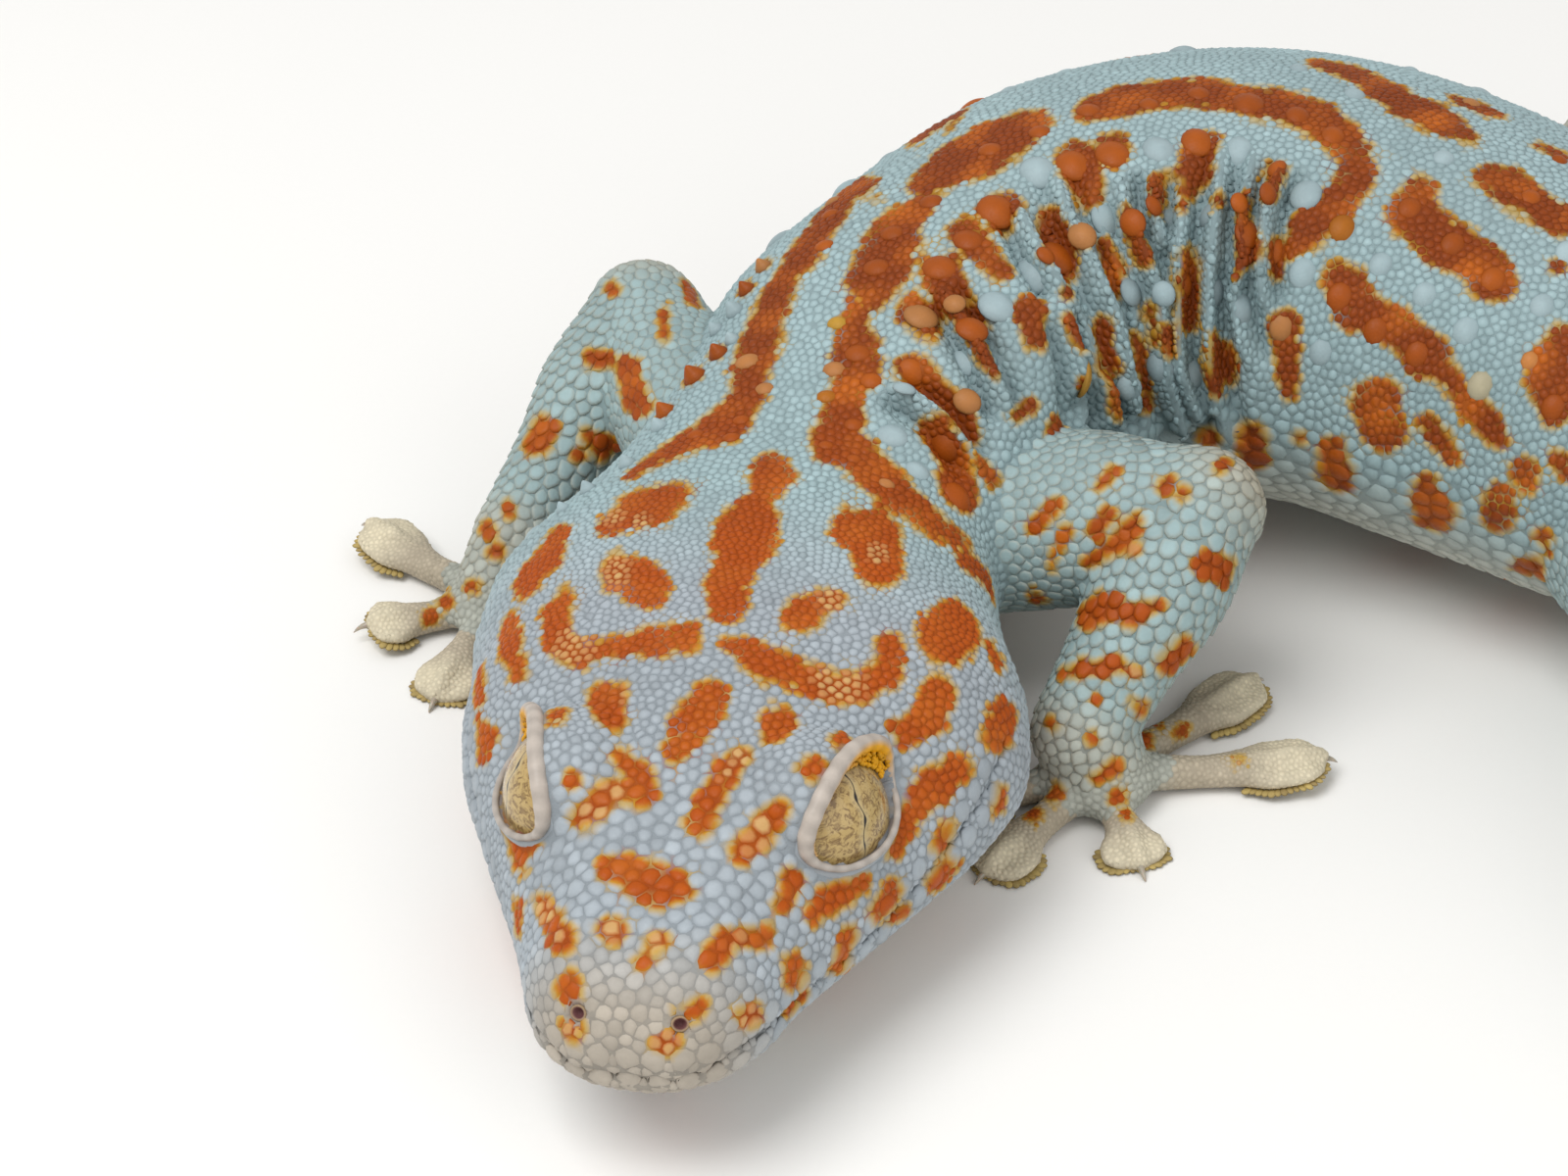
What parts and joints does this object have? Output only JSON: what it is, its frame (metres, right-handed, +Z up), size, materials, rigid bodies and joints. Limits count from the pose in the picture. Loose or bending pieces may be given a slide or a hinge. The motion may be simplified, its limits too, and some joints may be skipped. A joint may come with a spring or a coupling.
{
  "type": "tokay gecko",
  "caption": "Life-size still tokay gecko, body bent to its left, standing on spread padded toes with its tail laid on the floor.",
  "frame": {"origin": "on the floor under the middle of the whole animal's box", "axes": "+Z up; the head faces -Y, and the body bends round so that the tail lies towards +X and -Y"},
  "size_m": [0.1816, 0.2306, 0.0374],
  "materials": {
    "skin": "satin",
    "toe_skin": "satin",
    "eye": "gloss"
  },
  "bodies": {
    "root": {"arm_left_lower": "skin", "arm_left_upper": "skin", "arm_right_lower": "skin", "arm_right_upper": "skin", "eye_left": "eye", "eye_right": "eye", "foot_left": "toe_skin", "foot_right": "toe_skin", "hand_left": "toe_skin", "hand_right": "toe_skin", "head": "skin", "hips": "skin", "jaw": "skin", "leg_left_lower": "skin", "leg_left_upper": "skin", "leg_right_lower": "skin", "leg_right_upper": "skin", "neck": "skin", "tail_base": "skin", "tail_middle": "skin", "tail_tip": "skin", "torso_front": "skin", "torso_middle": "skin", "torso_rear": "skin"}
  },
  "joints": []
}
